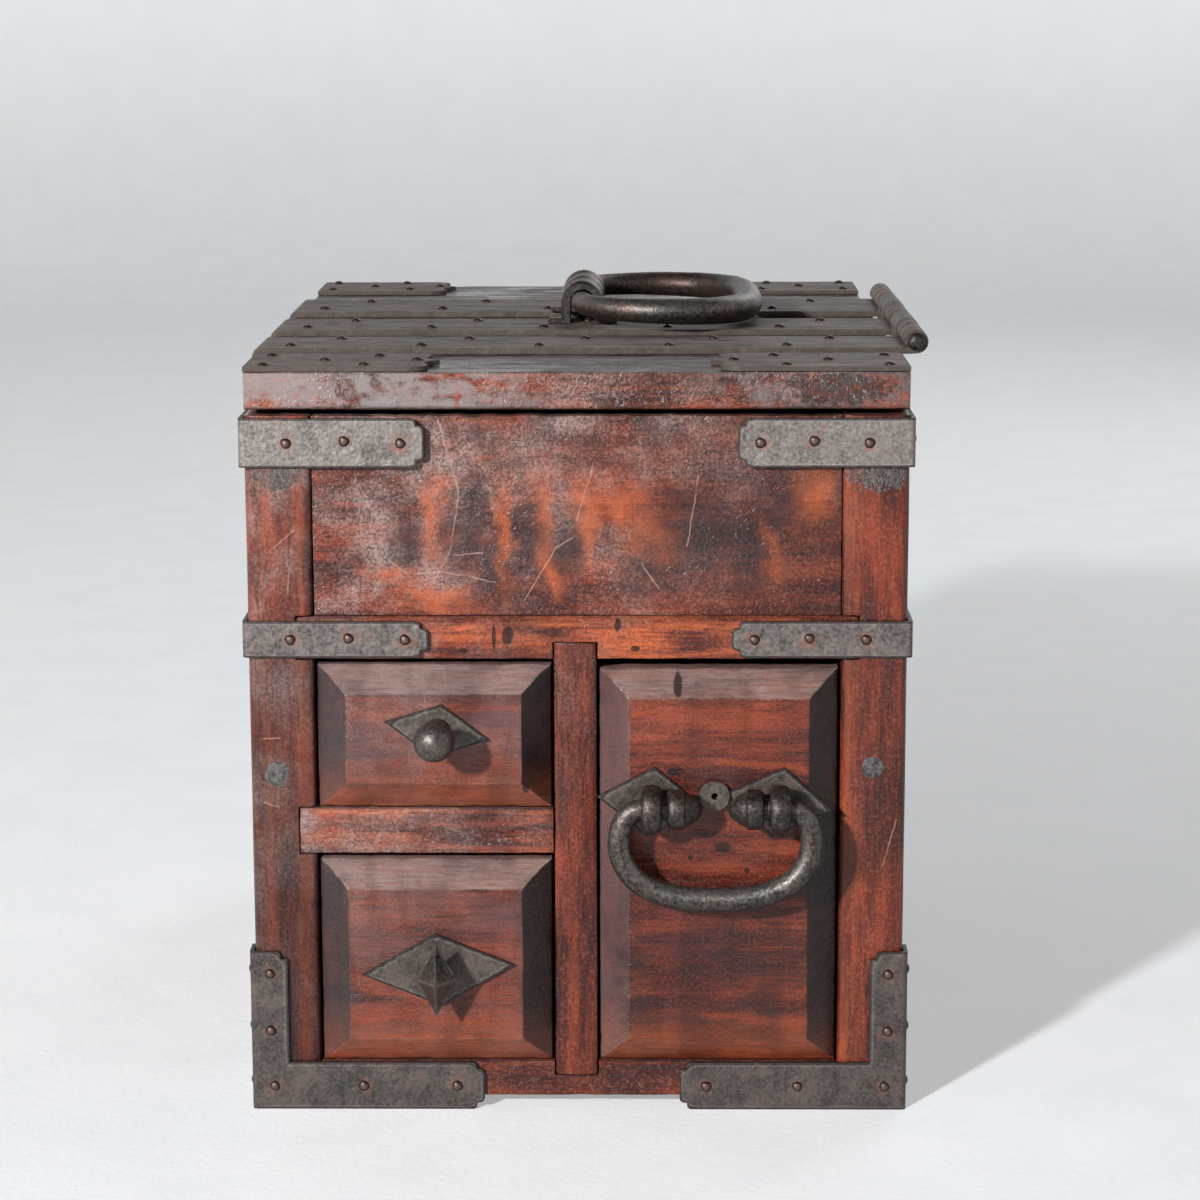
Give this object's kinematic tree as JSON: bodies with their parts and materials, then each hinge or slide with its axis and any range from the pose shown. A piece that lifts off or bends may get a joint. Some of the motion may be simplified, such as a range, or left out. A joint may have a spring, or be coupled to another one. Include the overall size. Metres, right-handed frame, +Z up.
{
  "type": "ship chest",
  "caption": "Small lacquered wooden ship chest with a hinged lid over an upper compartment, drawers below, raised drawer fronts and forged iron mounts, knobs and bail handles.",
  "frame": {"origin": "middle of the underside of the box round the whole chest, on the floor that it stands on", "axes": "+Z up; the drawers face -Y; the lid's hinge is on the +X side"},
  "size_m": [0.3202, 0.4384, 0.374],
  "materials": {
    "lacquered_wood": "worn red-brown wiped lacquer over open grain, satin, with dark stains and rubbed edges",
    "dark_lacquered_wood": "the same lacquer darkened by soot and wear, satin",
    "bare_wood": "plain planed softwood, matt, browned with age",
    "forged_iron": "hammered iron sheet, dark brown-grey patina with rust round the nails",
    "worn_iron": "forged iron rubbed smooth by hands, dark with bright worn places"
  },
  "bodies": {
    "case": {"left_front_post": "lacquered_wood", "right_front_post": "lacquered_wood", "middle_rail": "lacquered_wood", "bottom_rail": "dark_lacquered_wood", "front_panel": "lacquered_wood", "drawer_divider": "lacquered_wood", "drawer_shelf": "lacquered_wood", "bottom_board": "bare_wood", "compartment_floor": "bare_wood", "left_side_board": "lacquered_wood", "right_side_board": "lacquered_wood", "back_board": "lacquered_wood", "upper_left_strap": "forged_iron", "upper_right_strap": "forged_iron", "rear_left_strap": "forged_iron", "rear_right_strap": "forged_iron", "middle_left_strap": "forged_iron", "middle_right_strap": "forged_iron", "front_left_foot_bracket": "forged_iron", "front_right_foot_bracket": "forged_iron", "rear_left_foot_bracket": "forged_iron", "rear_right_foot_bracket": "forged_iron", "hinge_case_leaf": "forged_iron", "hinge_pin": "forged_iron"},
    "lid": {"lid_board": "lacquered_wood", "lid_front_left_plate": "forged_iron", "lid_front_right_plate": "forged_iron", "lid_rear_left_plate": "forged_iron", "lid_rear_right_plate": "forged_iron", "lid_front_strap": "forged_iron", "lid_middle_strap": "forged_iron", "lid_rear_strap": "forged_iron", "lid_handle_saddle": "worn_iron"},
    "lid_handle": {"lid_handle": "worn_iron"},
    "upper_drawer": {"upper_drawer_front": "lacquered_wood", "upper_drawer_left_side": "bare_wood", "upper_drawer_right_side": "bare_wood", "upper_drawer_back": "bare_wood", "upper_drawer_bottom": "bare_wood", "ball_knob_plate": "forged_iron", "ball_knob": "worn_iron"},
    "lower_drawer": {"lower_drawer_front": "lacquered_wood", "lower_drawer_left_side": "bare_wood", "lower_drawer_right_side": "bare_wood", "lower_drawer_back": "bare_wood", "lower_drawer_bottom": "bare_wood", "pyramid_knob_plate": "forged_iron", "pyramid_knob": "worn_iron"},
    "tall_drawer": {"tall_drawer_front": "lacquered_wood", "tall_drawer_left_side": "bare_wood", "tall_drawer_right_side": "bare_wood", "tall_drawer_back": "bare_wood", "tall_drawer_bottom": "bare_wood", "left_bail_plate": "forged_iron", "right_bail_plate": "forged_iron", "left_bail_eye": "worn_iron", "right_bail_eye": "worn_iron", "keyhole_disc": "forged_iron", "drawer_lock": "forged_iron"},
    "drawer_bail": {"drawer_bail": "worn_iron"}
  },
  "joints": [
    {"name": "lid_hinge", "type": "hinge", "parent": "case", "child": "lid", "pos_m": [0.15427, 0.01845, 0.35485], "axis": [0, 1, 0], "range_deg": [0, 105]},
    {"name": "lid_handle_pivot", "type": "hinge", "parent": "lid", "child": "lid_handle", "pos_m": [-0.00483, 0.02051, 0.36315], "axis": [0, -1, 0], "range_deg": [0, 182]},
    {"name": "upper_drawer_slide", "type": "slide", "parent": "case", "child": "upper_drawer", "axis": [0, -1, 0], "range_m": [0, 0.27]},
    {"name": "lower_drawer_slide", "type": "slide", "parent": "case", "child": "lower_drawer", "axis": [0, -1, 0], "range_m": [0, 0.27]},
    {"name": "tall_drawer_slide", "type": "slide", "parent": "case", "child": "tall_drawer", "axis": [0, -1, 0], "range_m": [0, 0.27]},
    {"name": "drawer_bail_pivot", "type": "hinge", "parent": "tall_drawer", "child": "drawer_bail", "pos_m": [0.05817, -0.20255, 0.1515], "axis": [-1, 0, 0], "range_deg": [-10, 190]}
  ]
}
